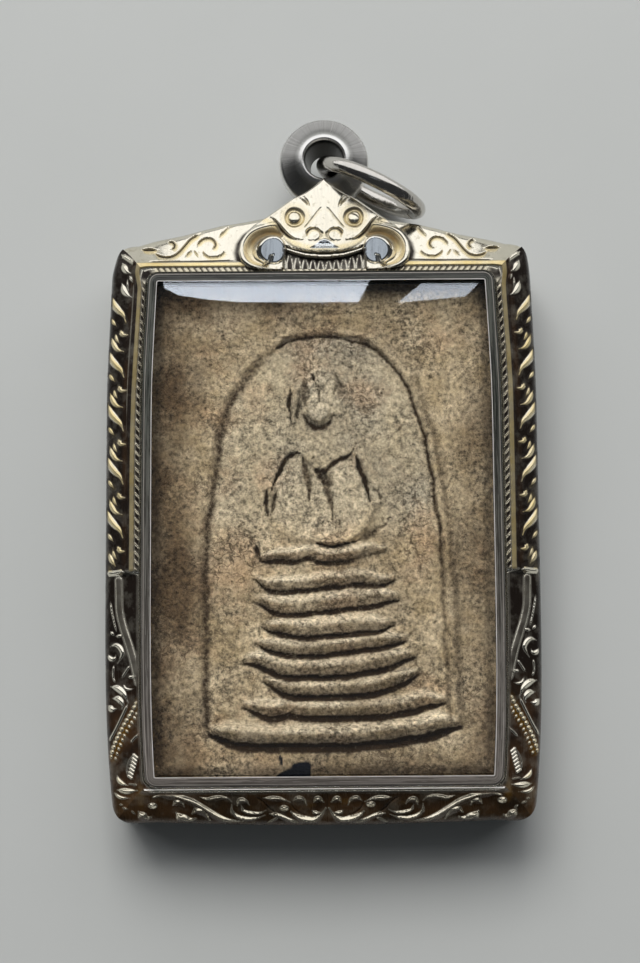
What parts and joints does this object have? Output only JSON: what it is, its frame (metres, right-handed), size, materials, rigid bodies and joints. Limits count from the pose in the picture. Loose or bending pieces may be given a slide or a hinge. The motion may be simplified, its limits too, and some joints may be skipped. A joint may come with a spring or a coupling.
{
  "type": "thai buddha amulet pendant",
  "caption": "Pressed clay votive tablet under clear covers in an ornamented silver case with a crest, a bail and a loose jump ring.",
  "frame": {"origin": "centre of the overall outline, on the plane that the case's back rim rests on", "axes": "+X to the pendant's right as seen from the front, +Y up the pendant towards its bail, +Z out of the front"},
  "size_m": [0.0312, 0.0516, 0.0088],
  "materials": {
    "silver_case": "polished cast silver with gilt lines, darkened in the hollows",
    "clear_front": "clear polished acrylic",
    "clear_back": "clear polished acrylic",
    "clay": "old pressed clay and plaster, matt, pitted, brown at the edges",
    "ring_wire": "polished wire"
  },
  "bodies": {
    "root": {"casing": "silver_case", "front_cover": "clear_front", "back_cover": "clear_back", "amulet": "clay", "jump_ring": "ring_wire"}
  },
  "joints": []
}
